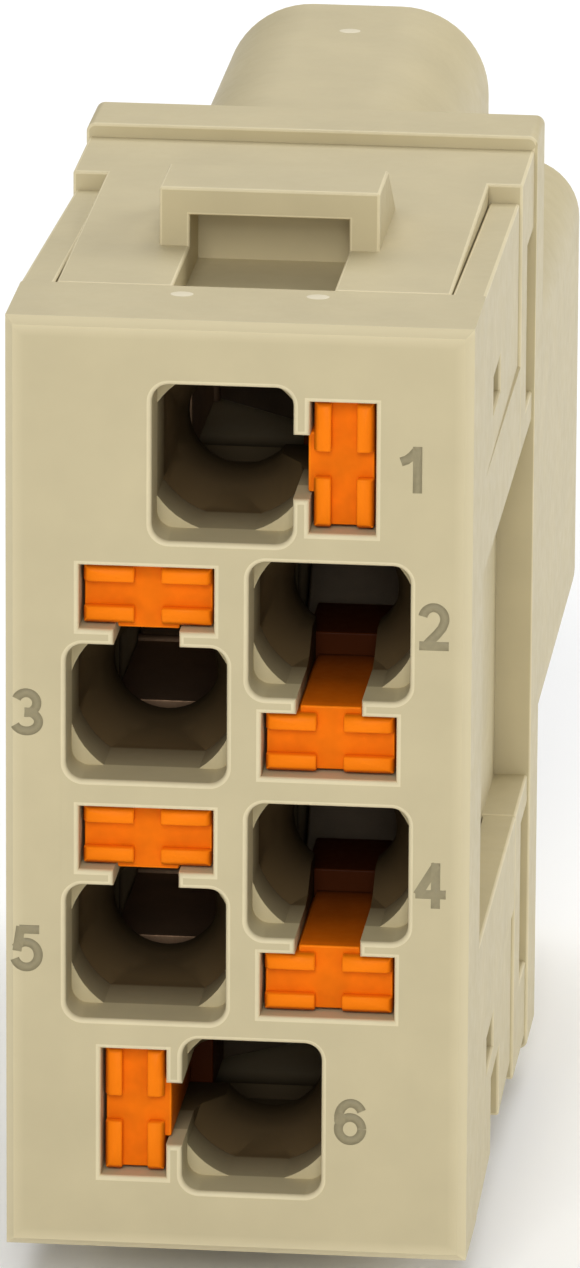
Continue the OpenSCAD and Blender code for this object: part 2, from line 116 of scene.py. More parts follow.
class HousingSettings(PropertyGroup):
    colour: tint("Plastic", "Colour of the moulded housing", (0.53, 0.455, 0.275))
    # Painted highlight: the rounded edges and rims, and the band along the face's outer edges, get this
    # paler colour in place of the light that they catch
    highlight_colour: tint("Arris", "Colour of the rounded edges", (0.67, 0.582, 0.37))
    # Painted shade: the plastic inside the wire funnels and guides darkens with depth towards these
    # colours, in place of the shade that falls there
    funnel_shade_colour: tint(
        "Funnel", "Shaded colour of the plastic in the wire funnels", (0.096, 0.063, 0.028)
    )
    guide_shade_colour: tint(
        "Guide", "Shaded colour of the plastic in the wire guides", (0.024, 0.016, 0.008)
    )
    # Painted light and shade in the spring chambers: the plastic is dark near their front, where the
    # lamps reach, and turns to the paler far-end colour at their back, where little light reaches
    chamber_shade_colour: tint(
        "Chamber", "Shaded colour of the plastic in the spring chambers", (0.07, 0.05, 0.026)
    )
    deep_colour: tint(
        "Chamber end", "Colour of the plastic at the far end of the spring chambers", (0.53, 0.43, 0.26)
    )
    gate_colour: tint("Gate mark", "Colour of the gate marks", (0.70, 0.63, 0.46))
    rim_round: length("Rim rounding", "Radius of the rounding of the face's openings", 0.15 * MM)
    edge_round: length("Edge rounding", "Width of the rounding of all other edges", 0.09 * MM)
    gate_radius: length("Gate mark radius", "Radius of the gate marks", 0.36 * MM)
    roughness: share("Roughness", "Mean roughness of the moulded surface", 0.5)
    gloss: share("Gloss", "Specular level of the moulded surface", 0.3)
    inner_gloss: share("Inner gloss", "Specular level of the plastic inside the openings", 0.06)
    mottle: share("Mottle", "Strength of the cloudy variation of the colour", 0.035)
    grain: length("Grain depth", "Depth of the fine texture of the mould", 0.004 * MM)


class PusherSettings(PropertyGroup):
    colour: tint("Plastic", "Colour of the release pushers", (0.79, 0.16, 0.003))
    # Painted highlight: the pushers' pads and rounded edges get this paler colour in place of the light
    # that they catch
    highlight_colour: tint("Arris", "Colour of the pushers' pads and rounded edges", (0.90, 0.205, 0.005))
    # Painted shade: the pushers darken towards this colour with depth, in place of the shade inside
    # their slots
    slot_shade_colour: tint("Inside", "Colour of the pushers deep inside their slots", (0.05, 0.011, 0.002))
    edge_round: length("Edge rounding", "Width of the rounding of the pushers' edges", 0.06 * MM)
    roughness: share("Roughness", "Mean roughness of the pushers", 0.38)
    gloss: share("Gloss", "Specular level of the pushers", 0.04)
    grain: length("Grain depth", "Depth of the fine texture of the mould", 0.003 * MM)


class MetalSettings(PropertyGroup):
    steel: tint("Spring steel", "Colour of the clamp springs", (0.3, 0.24, 0.17))
    steel_roughness: share("Steel roughness", "Mean roughness of the clamp springs", 0.5)
    copper: tint("Copper", "Colour of the current bars", (0.28, 0.18, 0.11))
    copper_roughness: share("Copper roughness", "Mean roughness of the current bars", 0.6)
    brass: tint("Brass", "Colour of the socket contacts", (0.72, 0.55, 0.27))
    brass_roughness: share("Brass roughness", "Mean roughness of the socket contacts", 0.26)
    line_depth: length("Line depth", "Depth of the lines of rolling and turning", 0.003 * MM)
    edge_round: length("Edge rounding", "Width of the rounding of the metal pieces' edges", 0.05 * MM)
    strip_thickness: length("Strip thickness", "Thickness of the spring strip", 0.35 * MM)
    strip_width: length("Strip width", "Width of the spring strip", 3.4 * MM)
    strip_bend: length("Strip bend", "Radius of the spring's bend at mid thickness", 0.7 * MM)


class PrintSettings(PropertyGroup):
    ink: tint("Ink", "Colour of the printed pole numbers", (0.275, 0.235, 0.135))
    gloss: share("Gloss", "Specular level of the print", 0.3)
    height: length("Number height", "Height of the pole numbers", 1.54 * MM)
    width: length("Number width", "Width of the pole numbers from 2 to 6", 1.06 * MM)
    stroke: length("Stroke", "Width of the numbers' strokes", 0.29 * MM)
    film: length("Film", "Thickness of the film of ink, half of it sunk in the face", 0.006 * MM)


class StudioSettings(PropertyGroup):
    azimuth: angle("Azimuth", "Turn of the camera to the right of the terminal face", 5.81)
    elevation: angle("Elevation", "Height of the camera over the horizon", 17.009)
    roll: angle("Roll", "Turn of the camera about its own axis", 0.3236)
    place: FloatVectorProperty(
        name="Camera place", description="Place of the camera",
        default=(0.037616, -0.353543, 0.114015), subtype="XYZ", unit="LENGTH", precision=6,
    )
    lens: FloatProperty(
        name="Lens", description="Focal length on a sensor of 36 mm",
        default=339.31, min=1, unit="CAMERA",
    )
    floor: tint("Floor", "Colour of the studio floor", (0.95, 0.95, 0.95))
    floor_gloss: share("Floor gloss", "Specular level of the studio floor", 0.1)
    tent: FloatProperty(name="Tent", description="Strength of the white tent", default=0.2, min=0)
    front: power("Front", "Power of the front softbox", 10.1)
    fill: power("Fill", "Power of the low front softbox", 2.3)
    top: power("Top", "Power of the overhead softbox", 2.5)
    right: power("Right", "Power of the right softbox", 1.65)
    left: power("Left", "Power of the left softbox", 0.6)


# Poles: place of the wire entry across and up, and the turn about Y that takes +X to its pusher

POLES = (
    (-0.505 * MM, 10.685 * MM, 0),
    (2.865 * MM, 5.38 * MM, 90),
    (-2.865 * MM, 2.505 * MM, -90),
    (2.865 * MM, -2.505 * MM, 90),
    (-2.865 * MM, -5.38 * MM, -90),
    (0.505 * MM, -10.685 * MM, 180),
)
POLE_IDS = range(1, len(POLES) + 1)


def pole_matrix(pole):
    """From a pole's own frame, with +X towards its pusher, to the part's frame."""
    x, z, turn = POLES[pole - 1]
    return Matrix.Translation((x, 0, z)) @ Matrix.Rotation(math.radians(turn), 4, "Y")


# Meshes

# Points nearer to each other than this are one point
MERGE_DISTANCE = 0.002 * MM
# Points nearer than this to the plane of the terminal face lie in it
FACE_TOLERANCE = 0.005 * MM
# Faces that meet at less than this angle in degrees are one flat face
FLAT_ANGLE = 0.1
# Edges past this angle in degrees are sharp
SHARP_ANGLE = 40
# Edges past this angle in degrees lie between faces that are about square to each other
SQUARE_ANGLE = 60
# Angle in degrees at which smooth shading stops
SMOOTH_ANGLE = 34
# Space that a rounding needs beside its edge, in widths of the rounding
ROOM = 2.2
# Flat steps in the rounding of a rim
RIM_STEPS = 3
# How far a face on a rounded rim looks to the front: a wall does so less, and the flat face more
WALL_FACING = 0.1
FLAT_FACING = 0.999
# How far a face looks to the rear before it counts as a rear wall
REAR_FACING = 0.9
# Faces nearer than this to the part's axis, across and up, lie inside the housing's walls
HOLLOW_X = 5.95 * MM
HOLLOW_Z = 13.85 * MM


def new_piece(name, mesh):
    """An object of the mesh, in the scene."""
    piece = bpy.data.objects.new(name, mesh)
    bpy.context.scene.collection.objects.link(piece)
    return piece


def keep_evaluated(piece):
    """Puts the evaluated mesh in place of the piece's own one and drops its modifiers."""
    bpy.context.view_layer.update()
    depsgraph = bpy.context.evaluated_depsgraph_get()
    made = bpy.data.meshes.new_from_object(
        piece.evaluated_get(depsgraph), preserve_all_data_layers=True, depsgraph=depsgraph
    )
    old = piece.data
    piece.modifiers.clear()
    piece.data = made
    bpy.data.meshes.remove(old)
    made.name = piece.name


def shade(piece, degrees):
    """Smooth shading that stops at edges sharper than the given angle and keeps flat faces flat."""
    bm = bmesh.new()
    bm.from_mesh(piece.data)
    for face in bm.faces:
        face.smooth = True
    for edge in bm.edges:
        edge.smooth = edge.is_manifold and edge.calc_face_angle() < math.radians(degrees)
    bm.to_mesh(piece.data)
    bm.free()
    weighted = piece.modifiers.new("Flat faces", "WEIGHTED_NORMAL")
    weighted.keep_sharp = True
    keep_evaluated(piece)


def cad_mesh(node):
    """The node's faces, merged to a closed mesh with whole flat faces."""
    bm = bmesh.new()
    bm.from_mesh(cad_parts[node].data)
    bmesh.ops.remove_doubles(bm, verts=bm.verts, dist=MERGE_DISTANCE)
    bmesh.ops.dissolve_limit(
        bm, angle_limit=math.radians(FLAT_ANGLE), use_dissolve_boundaries=False,
        verts=bm.verts, edges=bm.edges,
    )
    return bm


def round_rims(bm, radius):
    """Rounds the rims of the openings in the terminal face, which lies in the plane Y = 0.

    The rounded faces get the second material, the painted highlight of the rims.
    """
    face = [f for f in bm.faces if all(abs(v.co.y) < FACE_TOLERANCE for v in f.verts)]
    wide = max(v.co.x for f in face for v in f.verts) - 2 * radius
    tall = max(v.co.z for f in face for v in f.verts) - 2 * radius
    turns = [math.radians(90 * step / RIM_STEPS) for step in range(RIM_STEPS + 1)]
    for turn, after in zip(turns, turns[1:]):
        before = set(bm.faces)
        bmesh.ops.inset_region(
            bm, faces=face, thickness=radius * (math.cos(turn) - math.cos(after)),
            use_boundary=True, use_even_offset=True,
        )
        inner = {v for f in face for v in f.verts}
        for v in {v for f in set(bm.faces) - before for v in f.verts} - inner:
            if abs(v.co.x) < wide and abs(v.co.z) < tall:
                v.co.y = radius * (1 - math.sin(turn))
    bm.normal_update()
    for f in bm.faces:
        x, y, z = f.calc_center_median()
        inside = abs(x) < wide and abs(z) < tall and y < 2 * radius
        if inside and WALL_FACING < -f.normal.y < FLAT_FACING:
            f.material_index = 1


def mark_hollows(bm, front, back):
    """Gives the faces inside the housing, between two depths, the third material, which holds their
    painted shade.

    Rear walls stay as they are, because they show in the recesses from behind.
    """
    for f in bm.faces:
        x, y, z = f.calc_center_median()
        inside = abs(x) < HOLLOW_X and abs(z) < HOLLOW_Z and front < y < back
        if inside and f.normal.y < REAR_FACING:
            f.material_index = 2


def any_edge(edge):
    """True for every edge."""
    return True


def square(edge):
    """True for an edge between faces at about a right angle."""
    return edge.calc_face_angle() > math.radians(SQUARE_ANGLE)


def roomy(edge, width):
    """True where both faces reach far enough beside an edge for a rounding of the given width."""
    middle = (edge.verts[0].co + edge.verts[1].co) / 2
    return all(
        bmesh.geometry.intersect_face_point(loop.face, middle + ROOM * width * edge.calc_tangent(loop))
        for loop in edge.link_loops
    )


def round_edges(bm, name, finishes, width, segments, chosen=any_edge, smooth=SMOOTH_ANGLE):
    """A piece from the mesh, with its chosen sharp convex edges rounded in the second finish."""
    layer = bm.edges.layers.float.new("bevel_weight_edge")
    for edge in bm.edges:
        if len(edge.link_faces) != 2 or not edge.is_convex or not chosen(edge):
            continue
        if edge.calc_face_angle() > math.radians(SHARP_ANGLE) and roomy(edge, width):
            edge[layer] = 1.0
    mesh = bpy.data.meshes.new(name)
    bm.to_mesh(mesh)
    bm.free()
    for finish in finishes:
        mesh.materials.append(finish)
    piece = new_piece(name, mesh)
    bevel = piece.modifiers.new("Rounded edges", "BEVEL")
    bevel.width = width
    bevel.segments = segments
    bevel.limit_method = "WEIGHT"
    bevel.use_clamp_overlap = False
    bevel.material = 1
    keep_evaluated(piece)
    shade(piece, smooth)
    return piece


def in_place(piece, body, slot, *nodes):
    """The piece rides on its body and stands in for its CAD nodes, which are hidden."""
    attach(piece, body)
    if nodes:
        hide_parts(*nodes)


# Node trees

# A noise texture's values lie mostly between these
NOISE_LOW = 0.3
NOISE_HIGH = 0.7


class NodeMaker:
    """Adds nodes to a tree. links pairs an input's name or number with a socket or a plain value."""

    tree = None

    def node(self, kind, links=(), **settings):
        made = self.tree.nodes.new(kind)
        for key, value in settings.items():
            setattr(made, key, value)
        for key, value in links:
            self.join(value, made.inputs[key])
        return made

    def join(self, value, socket):
        if isinstance(value, bpy.types.NodeSocket):
            self.tree.links.new(value, socket)
        else:
            socket.default_value = value


class Sweep(NodeMaker):
    """A Geometry Nodes tree with named inputs that ends in real geometry with one material."""

    def __init__(self, name, inputs):
        self.tree = bpy.data.node_groups.new(name, "GeometryNodeTree")
        self.tree.is_modifier = True
        sockets = self.tree.interface
        sockets.new_socket("Geometry", in_out="INPUT", socket_type="NodeSocketGeometry")
        self.keys = {
            label: sockets.new_socket(label, in_out="INPUT", socket_type="NodeSocketFloat").identifier
            for label in inputs
        }
        sockets.new_socket("Geometry", in_out="OUTPUT", socket_type="NodeSocketGeometry")
        self.given = self.node("NodeGroupInput").outputs
        self.end = self.node("NodeGroupOutput")

    def dress(self, geometry, material):
        """Ends the tree: the geometry made real, in its material."""
        real = self.node("GeometryNodeRealizeInstances", [("Geometry", geometry)])
        dressed = self.node(
            "GeometryNodeSetMaterial", [("Geometry", real.outputs[0]), ("Material", material)]
        )
        self.join(dressed.outputs[0], self.end.inputs[0])

    def run(self, piece, **values):
        """Runs the tree on the piece and keeps the result as its plain mesh."""
        modifier = piece.modifiers.new(self.tree.name, "NODES")
        modifier.node_group = self.tree
        for label, value in values.items():
            modifier[self.keys[label]] = value
        keep_evaluated(piece)


def shaded(colour, factor=1.0):
    """A colour times a factor, as a colour socket takes it."""
    return (*(min(1.0, c * factor) for c in colour), 1.0)


class Finish(NodeMaker):
    """A material under construction: its nodes read the piece's Object coordinates."""

    def __init__(self, name):
        self.material = bpy.data.materials.new(name)
        self.material.use_nodes = True
        self.tree = self.material.node_tree
        self.surface = self.tree.nodes["Principled BSDF"]
        self.place = self.node("ShaderNodeTexCoord").outputs["Object"]

    def axes(self):
        """The X, Y and Z of the piece's Object coordinates."""
        return self.node("ShaderNodeSeparateXYZ", [("Vector", self.place)]).outputs

    def noise(self, size, detail=2.0, stretch=(1, 1, 1)):
        """Noise between 0 and 1 whose features are about size metres across."""
        mapped = self.node("ShaderNodeMapping", [("Vector", self.place), ("Scale", stretch)])
        made = self.node(
            "ShaderNodeTexNoise",
            [("Vector", mapped.outputs[0]), ("Scale", 1 / size), ("Detail", detail)],
        )
        return made.outputs[0]

    def spread(self, value, low, high, start=NOISE_LOW, end=NOISE_HIGH):
        """Spreads a value from start to end over low to high."""
        made = self.node(
            "ShaderNodeMapRange",
            [
                ("Value", value), ("From Min", start), ("From Max", end),
                ("To Min", low), ("To Max", high),
            ],
        )
        return made.outputs[0]

    def drift(self, noise, mean, below, above):
        """A number that drifts with the noise, from below its mean to above it."""
        return self.spread(noise, mean - below, mean + above)

    def math(self, operation, a, b=0.0):
        return self.node("ShaderNodeMath", [(0, a), (1, b)], operation=operation).outputs[0]

    def mix(self, factor, a, b):
        """Two colours mixed, by the sockets that a mix of colours has among those of its node."""
        made = self.node("ShaderNodeMix", [(0, factor), (6, a), (7, b)], data_type="RGBA")
        return made.outputs[2]

    def cloudy(self, noise, colour, dark, pale):
        """A colour that drifts with the noise between two of its own shades."""
        return self.mix(self.spread(noise, 0, 1), shaded(colour, dark), shaded(colour, pale))

    def ramp(self, value, stops):
        """A factor read from stops along the value, each a place and a level."""
        made = self.node("ShaderNodeValToRGB", [("Fac", value)])
        marks = made.color_ramp.elements
        while len(marks) < len(stops):
            marks.new(1.0)
        for mark, (place, level) in zip(marks, stops):
            mark.position = place
            mark.color = (level, level, level, 1)
        return made.outputs[0]

    def feed(self, **sockets):
        """Joins or sets the shader's own sockets."""
        for name, value in sockets.items():
            self.join(value, self.surface.inputs[name.replace("_", " ")])

    def bump(self, height, depth, strength):
        made = self.node(
            "ShaderNodeBump", [("Height", height), ("Distance", depth), ("Strength", strength)]
        )
        self.feed(Normal=made.outputs[0])


# Finishes

# Depth of the cap's plug behind the terminal face, and levels of the painted shade along it
PLUG_DEPTH = 6.2 * MM
FUNNEL_SHADE_STOPS = ((0.0, 0.0), (0.262, 0.0), (0.27, 0.42), (0.545, 0.8), (0.565, 1.0))
GUIDE_SHADE_STOPS = ((0.0, 0.0), (0.565, 0.0), (0.8, 0.7), (1.0, 0.9))
SLOT_SHADE_STOPS = ((0.0, 0.0), (0.16, 0.0), (0.2, 0.2), (0.6, 0.7), (0.97, 0.9), (1.0, 1.0))

# Depth at which the spring chambers' painted shade has turned fully to the colour of their far end, and
# its levels up to there
CHAMBER_DEPTH = 16 * MM
CHAMBER_SHADE_STOPS = ((0.0, 0.0), (0.54, 0.0), (0.61, 0.6), (1.0, 1.0))

# Painted highlight along the outer edges of the terminal face: where it starts and is full, measured in
# from the edge, the depths behind the face where it fades out, and its level on the upright edges
HIGHLIGHT_START = 0.6 * MM
HIGHLIGHT_FULL = 0.08 * MM
FADE_START = 0.25 * MM
FADE_END = 0.3 * MM
UPRIGHT_LEVEL = 0.65

# Depths behind the terminal face where the pushers' painted pad highlight ends and the cross between
# them begins
PAD_HIGHLIGHT_END = 0.55 * MM
CROSS_START = 0.7 * MM


def shade_by_depth(finish, body, stops, colour, depth=PLUG_DEPTH):
    """Painted shade by depth: the body colour, mixed with another one by the depth behind the terminal
    face.
    """
    level = finish.ramp(finish.spread(finish.axes()[1], 0, 1, start=0, end=depth), stops)
    return finish.mix(level, body, shaded(colour))


def paint_edge_highlight(finish, body, colour):
    """Painted highlight: the body colour, turning to a paler one towards the outer edges of the
    terminal face.
    """
    x, y, z = finish.axes()
    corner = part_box("front_cap")[1]
    levels = [
        finish.spread(finish.math("ABSOLUTE", along), 0, level, reach - HIGHLIGHT_START, reach - HIGHLIGHT_FULL)
        for along, reach, level in ((x, corner.x, UPRIGHT_LEVEL), (z, corner.z, 1.0))
    ]
    front = finish.spread(y, 1, 0, FADE_START, FADE_END)
    level = finish.math("MULTIPLY", finish.math("MAXIMUM", *levels), front)
    return finish.mix(level, body, shaded(colour))


def housing_plastic(name, colour, look, shades=(), face_edge_highlight=None):
    """Satin moulded plastic with a cloudy colour and the fine texture of the mould, and where asked
    painted shade by depth and a painted highlight along the face's outer edges.
    """
    finish = Finish(name)
    cloud = finish.noise(2.4 * MM, detail=3.0)
    body = finish.cloudy(cloud, colour, dark=1 - look.mottle, pale=1 + look.mottle)
    # Painted shade by depth inside the openings
    for shade_colour in shades:
        body = shade_by_depth(finish, body, *shade_colour)
    # Painted highlight along the outer edges of the terminal face
    if face_edge_highlight:
        body = paint_edge_highlight(finish, body, face_edge_highlight)
    finish.feed(
        Base_Color=body,
        Roughness=finish.drift(finish.noise(0.5 * MM), look.roughness, below=0.06, above=0.06),
        Specular_IOR_Level=look.inner_gloss if shades else look.gloss,
    )
    finish.bump(finish.noise(0.045 * MM, detail=1.0), look.grain, strength=0.3)
    return finish.material


def pusher_plastic(name, colour, look):
    """Semi-gloss orange plastic with faint flow lines, a painted highlight on its pads and painted
    shade deeper in its slot.
    """
    finish = Finish(name)
    flow = finish.noise(0.7 * MM, stretch=(1, 0.35, 1))
    body = finish.cloudy(flow, colour, dark=0.9, pale=1.06)
    # Painted highlight on the pads at the front of the pusher
    pads = finish.spread(finish.axes()[1], 1, 0, PAD_HIGHLIGHT_END, CROSS_START)
    body = finish.mix(pads, body, shaded(look.highlight_colour))
    # Painted shade: the pusher darkens with depth inside its slot
    finish.feed(
        Base_Color=shade_by_depth(finish, body, SLOT_SHADE_STOPS, look.slot_shade_colour),
        Roughness=finish.drift(finish.noise(0.3 * MM), look.roughness, below=0.05, above=0.07),
        Specular_IOR_Level=look.gloss,
    )
    finish.bump(finish.noise(0.06 * MM, detail=1.0), look.grain, strength=0.3)
    return finish.material


def worked_metal(name, colour, roughness, stretch, look):
    """Bare metal with the lines of its rolling or turning."""
    finish = Finish(name)
    lines = finish.noise(0.12 * MM, detail=3.0, stretch=stretch)
    finish.feed(
        Base_Color=finish.cloudy(finish.noise(1.6 * MM), colour, dark=0.86, pale=1.08),
        Metallic=1.0,
        Roughness=finish.drift(lines, roughness, below=0.08, above=0.1),
    )
    finish.bump(lines, look.line_depth, strength=0.06)
    return finish.material


def number_ink(name, look):
    """Matt print that has worn thin in places."""
    finish = Finish(name)
    wear = finish.noise(0.16 * MM, detail=3.0)
    finish.feed(
        Base_Color=finish.cloudy(wear, look.ink, dark=0.96, pale=1.06),
        Roughness=finish.spread(wear, low=0.5, high=0.66),
        Specular_IOR_Level=look.gloss,
    )
    return finish.material


def studio_paper(name, look):
    """Dull pale paper."""
    finish = Finish(name)
    cloud = finish.noise(0.4)
    finish.feed(
        Base_Color=finish.mix(cloud, shaded(look.floor, 0.99), shaded(look.floor, 1.01)),
        Roughness=finish.spread(cloud, low=0.85, high=0.95),
        Specular_IOR_Level=look.floor_gloss,
    )
    return finish.material


# Pieces


class CONTACT_MODULE_OT_front_cap(Operator):
    """Moulded terminal cap with rounded rims round its openings"""

    bl_idname = "contact_module.front_cap"
    bl_label = "Front Cap"

    # Depth up to which the cap's faces belong to its openings
    HOLLOW_BACK = 7 * MM
    # Outer edges start behind the face's own edge, and lie past this across or up
    EDGE_START = 0.3 * MM
    OUTER_X = 6.3 * MM
    OUTER_Z = 14.2 * MM

    def outer(self, edge):
        return all(v.co.y > self.EDGE_START for v in edge.verts) and any(
            abs(v.co.x) > self.OUTER_X or abs(v.co.z) > self.OUTER_Z for v in edge.verts
        )

    def execute(self, context):
        look = context.scene.contact_module.housing
        # Painted highlight along the face's outer edges and on the rounded edges and rims, and painted
        # shade by depth inside the openings
        finishes = (
            housing_plastic("cap_plastic", look.colour, look, face_edge_highlight=look.highlight_colour),
            housing_plastic("cap_arris", look.highlight_colour, look),
            housing_plastic(
                "entry_plastic", look.colour, look,
                shades=((FUNNEL_SHADE_STOPS, look.funnel_shade_colour), (GUIDE_SHADE_STOPS, look.guide_shade_colour)),
            ),
        )
        bm = cad_mesh("front_cap")
        round_rims(bm, look.rim_round)
        mark_hollows(bm, look.rim_round, self.HOLLOW_BACK)
        cap = round_edges(
            bm, "terminal_cap", finishes, look.edge_round, segments=3, chosen=self.outer
        )
        in_place(cap, "housing", "housing", "front_cap")
        return {"FINISHED"}


class CONTACT_MODULE_OT_contact_carrier(Operator):
    """Moulded carrier with its lugs, flange and mating block"""

    bl_idname = "contact_module.contact_carrier"
    bl_label = "Contact Carrier"

    # Depths between which the carrier's inner faces belong to the spring chambers
    HOLLOW_FRONT = 6 * MM
    HOLLOW_BACK = 19 * MM
    # Outer edges lie past this across, up or back
    OUTER_X = 6 * MM
    OUTER_Z = 14 * MM
    OUTER_Y = 22 * MM

    def outer(self, edge):
        return any(
            abs(v.co.x) > self.OUTER_X or abs(v.co.z) > self.OUTER_Z or v.co.y > self.OUTER_Y
            for v in edge.verts
        )

    def execute(self, context):
        look = context.scene.contact_module.housing
        # Painted highlight on the rounded edges, and painted light and shade by depth in the spring
        # chambers
        finishes = (
            housing_plastic("carrier_plastic", look.colour, look),
            housing_plastic("carrier_arris", look.highlight_colour, look),
            housing_plastic(
                "chamber_plastic", look.chamber_shade_colour, look,
                shades=((CHAMBER_SHADE_STOPS, look.deep_colour, CHAMBER_DEPTH),),
            ),
        )
        bm = cad_mesh("contact_carrier")
        mark_hollows(bm, self.HOLLOW_FRONT, self.HOLLOW_BACK)
        carrier = round_edges(
            bm, "carrier_moulding", finishes, look.edge_round, segments=3, chosen=self.outer
        )
        in_place(carrier, "housing", "housing", "contact_carrier")
        return {"FINISHED"}


class CONTACT_MODULE_OT_pushers(Operator):
    """Orange release pushers with rounded pads"""

    bl_idname = "contact_module.pushers"
    bl_label = "Release Pushers"

    # Angle in degrees at which the pushers' smooth shading stops
    PAD_SMOOTH = 50

    def execute(self, context):
        look = context.scene.contact_module.pusher
        # Painted highlight on the pads and rounded edges, and painted shade deep in the slots
        finishes = (
            pusher_plastic("pusher_plastic", look.colour, look),
            pusher_plastic("pusher_arris", look.highlight_colour, look),
        )
        for pole in POLE_IDS:
            pusher = round_edges(
                cad_mesh(f"pusher_{pole}"), f"release_pusher_{pole}", finishes, look.edge_round,
                segments=2, chosen=square, smooth=self.PAD_SMOOTH,
            )
            in_place(pusher, f"pusher_{pole}", "pusher", f"pusher_{pole}")
        return {"FINISHED"}


# Points along the spring strip's bend and along each of its rounded corners
BEND_POINTS = 14
CORNER_POINTS = 3
# Radius of the strip's corners, in thicknesses
CORNER_ROUND = 0.22


def strip_sweep(steel):
    """Sweeps a strip with rounded edges along the piece's own edges, with a round bend."""
    sweep = Sweep("Bent strip", ("Thickness", "Width", "Bend"))
    path = sweep.node("GeometryNodeMeshToCurve", [("Mesh", sweep.given["Geometry"])])
    bent = sweep.node(
        "GeometryNodeFilletCurve",
        [("Curve", path.outputs[0]), ("Count", BEND_POINTS), ("Radius", sweep.given["Bend"])],
        mode="POLY",
    )
    upright = sweep.node("GeometryNodeSetCurveNormal", [("Curve", bent.outputs[0])], mode="Z_UP")
    section = sweep.node(
        "GeometryNodeCurvePrimitiveQuadrilateral",
        [("Width", sweep.given["Thickness"]), ("Height", sweep.given["Width"])],
    )
    corner = sweep.node(
        "ShaderNodeMath", [(0, sweep.given["Thickness"]), (1, CORNER_ROUND)], operation="MULTIPLY"
    )
    eased = sweep.node(
        "GeometryNodeFilletCurve",
        [("Curve", section.outputs[0]), ("Count", CORNER_POINTS), ("Radius", corner.outputs[0])],
        mode="POLY",
    )
    strip = sweep.node(
        "GeometryNodeCurveToMesh",
        [("Curve", upright.outputs[0]), ("Profile Curve", eased.outputs[0]), ("Fill Caps", True)],
    )
    sweep.dress(strip.outputs[0], steel)
    return sweep


class CONTACT_MODULE_OT_clamp_springs(Operator):
    """Bent leaf springs, one at each pole"""

    bl_idname = "contact_module.clamp_springs"
    bl_label = "Clamp Springs"

    # Rear end of the fixed leg, the corner that its bend rounds off, and the clamping tip
    PATH = ((4.56 * MM, 16.2 * MM, 0), (4.56 * MM, 8.6068 * MM, 0), (-1.38 * MM, 13.55 * MM, 0))
    # Places along the strip: its fixed part reaches up to the first, and its part at the pusher starts
    # past the second
    HOLD = (4.3 * MM, 10 * MM, 0)
    MOVE = (2.9 * MM, 10 * MM, 0)
    # Angle in degrees at which the strip's smooth shading stops
    STRIP_SMOOTH = 40

    def execute(self, context):
        look = context.scene.contact_module.metal
        steel = worked_metal("spring_steel", look.steel, look.steel_roughness, (1, 6, 1), look)
        sweep = strip_sweep(steel)
        for pole in POLE_IDS:
            name = f"clamp_strip_{pole}"
            mesh = bpy.data.meshes.new(name)
            mesh.from_pydata(self.PATH, [(0, 1), (1, 2)], [])
            spring = new_piece(name, mesh)
            sweep.run(
                spring, Thickness=look.strip_thickness, Width=look.strip_width, Bend=look.strip_bend
            )
            place = pole_matrix(pole)
            spring.data.transform(place)
            shade(spring, self.STRIP_SMOOTH)
            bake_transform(spring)
            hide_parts(f"clamp_spring_{pole}")
        return {"FINISHED"}


class CONTACT_MODULE_OT_current_bars(Operator):
    """Bent copper bars that the wires are pressed on"""

    bl_idname = "contact_module.current_bars"
    bl_label = "Current Bars"

    def execute(self, context):
        look = context.scene.contact_module.metal
        copper = worked_metal("bar_copper", look.copper, look.copper_roughness, (1, 5, 1), look)
        for pole in POLE_IDS:
            bar = round_edges(
                cad_mesh(f"current_bar_{pole}"), f"copper_bar_{pole}", (copper, copper),
                look.edge_round, segments=2,
            )
            in_place(bar, "housing", "current_bar", f"current_bar_{pole}")
        return {"FINISHED"}


class CONTACT_MODULE_OT_socket_contacts(Operator):
    """Turned female contacts with slit mouths"""

    bl_idname = "contact_module.socket_contacts"
    bl_label = "Socket Contacts"

    def execute(self, context):
        look = context.scene.contact_module.metal
        brass = worked_metal("contact_brass", look.brass, look.brass_roughness, (1, 8, 1), look)
        for pole in POLE_IDS:
            contact = round_edges(
                cad_mesh(f"socket_contact_{pole}"), f"female_contact_{pole}", (brass, brass),
                look.edge_round, segments=2,
            )
            in_place(contact, "housing", "contact", f"socket_contact_{pole}")
        return {"FINISHED"}


# Turn in degrees between two points of a bow, and the fewest steps that a bow has
BOW_STEP = 9
BOW_LEAST = 3


def bow(x, y, across, up, start, end):
    """Points on an oval arc round a centre, from one angle in degrees to another."""
    count = max(BOW_LEAST, round(abs(end - start) / BOW_STEP))
    angles = [math.radians(start + (end - start) * i / count) for i in range(count + 1)]
    return [(x + across * math.cos(a), y + up * math.sin(a)) for a in angles]


# Middle lines of the numbers' strokes, from 1 to 6, in a box from 0 to 1 across and up
NUMBERS = (
    ([(0.72, -0.1), (0.72, 1.1)], [(0.66, 0.98), (0.5, 0.86), (0.28, 0.75), (0.05, 0.7)]),
    (
        bow(0.48, 0.7, 0.45, 0.3, 168, -22) + [(0.82, 0.47), (0.58, 0.28), (0.3, 0.1), (0.15, -0.02)],
        [(-0.1, 0.0), (1.1, 0.0)],
    ),
    (bow(0.47, 0.74, 0.43, 0.26, 158, -100), bow(0.47, 0.25, 0.5, 0.25, 98, -158)),
    ([(0.72, -0.1), (0.72, 1.1)], [(0.76, 1.06), (-0.02, 0.25)], [(-0.1, 0.27), (1.14, 0.27)]),
    (
        [(0.2, 1.0), (1.02, 1.0)], [(0.26, 1.07), (0.1, 0.42)],
        bow(0.48, 0.33, 0.5, 0.33, 148, -160),
    ),
    (bow(0.5, 0.31, 0.48, 0.31, 0, 360), bow(0.53, 0.6, 0.5, 0.4, 28, 200)),
)


